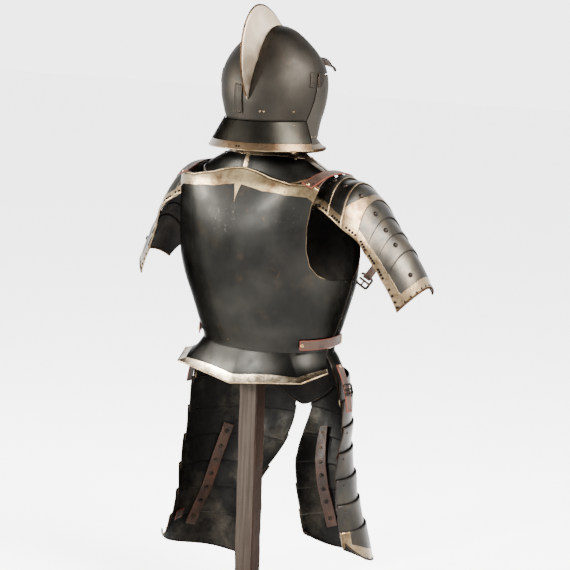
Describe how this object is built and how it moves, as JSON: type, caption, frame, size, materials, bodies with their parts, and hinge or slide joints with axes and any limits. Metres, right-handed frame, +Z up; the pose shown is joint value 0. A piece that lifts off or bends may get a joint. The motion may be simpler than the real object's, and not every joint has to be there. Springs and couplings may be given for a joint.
{
  "type": "half armour on a wooden stand",
  "caption": "Black and white steel half armour with a combed open helmet, gorget, laminated pauldrons and long laminated tassets, worn on a plain wooden post stand.",
  "frame": {"origin": "centre of the stand's underside, on the floor", "axes": "+Z up, +X to the wearer's left, -Y to the wearer's front"},
  "size_m": [0.6632, 0.372, 1.2097],
  "materials": {
    "black_steel": "satin",
    "white_steel": "satin",
    "leather": "satin",
    "wood": "matte"
  },
  "bodies": {
    "armour": {"back_plate": "black_steel", "breast_plate": "black_steel", "fauld": "black_steel", "gorget_back": "black_steel", "gorget_front": "black_steel", "pauldron_lame_1_left": "black_steel", "pauldron_lame_1_right": "black_steel", "pauldron_lame_2_left": "black_steel", "pauldron_lame_2_right": "black_steel", "pauldron_lame_3_left": "black_steel", "pauldron_lame_3_right": "black_steel", "pauldron_lame_4_left": "black_steel", "pauldron_lame_4_right": "black_steel", "pauldron_lame_5_left": "black_steel", "pauldron_lame_5_right": "black_steel", "pauldron_lame_6_left": "black_steel", "pauldron_lame_6_right": "black_steel", "pauldron_lame_7_left": "black_steel", "pauldron_lame_7_right": "black_steel", "tasset_lame_1_left": "black_steel", "tasset_lame_1_right": "black_steel", "tasset_lame_2_left": "black_steel", "tasset_lame_2_right": "black_steel", "tasset_lame_3_left": "black_steel", "tasset_lame_3_right": "black_steel", "tasset_lame_4_left": "black_steel", "tasset_lame_4_right": "black_steel", "tasset_lame_5_left": "black_steel", "tasset_lame_5_right": "black_steel", "tasset_lame_6_left": "black_steel", "tasset_lame_6_right": "black_steel", "tasset_lame_7_left": "black_steel", "tasset_lame_7_right": "black_steel", "helmet_skull": "black_steel", "helmet_comb": "white_steel", "neck_guard": "black_steel", "helmet_peak": "black_steel", "plume_holder": "black_steel", "hinge_plate_left": "white_steel", "hinge_plate_right": "white_steel", "shoulder_strap_left": "leather", "shoulder_strap_right": "leather", "waist_strap_left": "leather", "waist_strap_right": "leather", "hip_strap_left": "leather", "hip_strap_right": "leather", "inner_leather_left": "leather", "inner_leather_right": "leather", "arm_strap": "leather", "stand_base": "wood", "stand_post": "wood", "stand_shoulder_bar": "wood", "stand_head_block": "wood"},
    "cheek_left": {"cheek_left": "black_steel", "hinge_leaf_left": "white_steel"},
    "cheek_right": {"cheek_right": "black_steel", "hinge_leaf_right": "white_steel"}
  },
  "joints": [
    {"name": "cheek_left_hinge", "type": "hinge", "parent": "armour", "child": "cheek_left", "pos_m": [0.10125, -0.0074, 1.078], "axis": [0.0182, -0.1297, 0.9914], "range_deg": [0, 80]},
    {"name": "cheek_right_hinge", "type": "hinge", "parent": "armour", "child": "cheek_right", "pos_m": [-0.10769, -0.03677, 1.078], "axis": [-0.0182, 0.1297, -0.9914], "range_deg": [0, 80]}
  ]
}
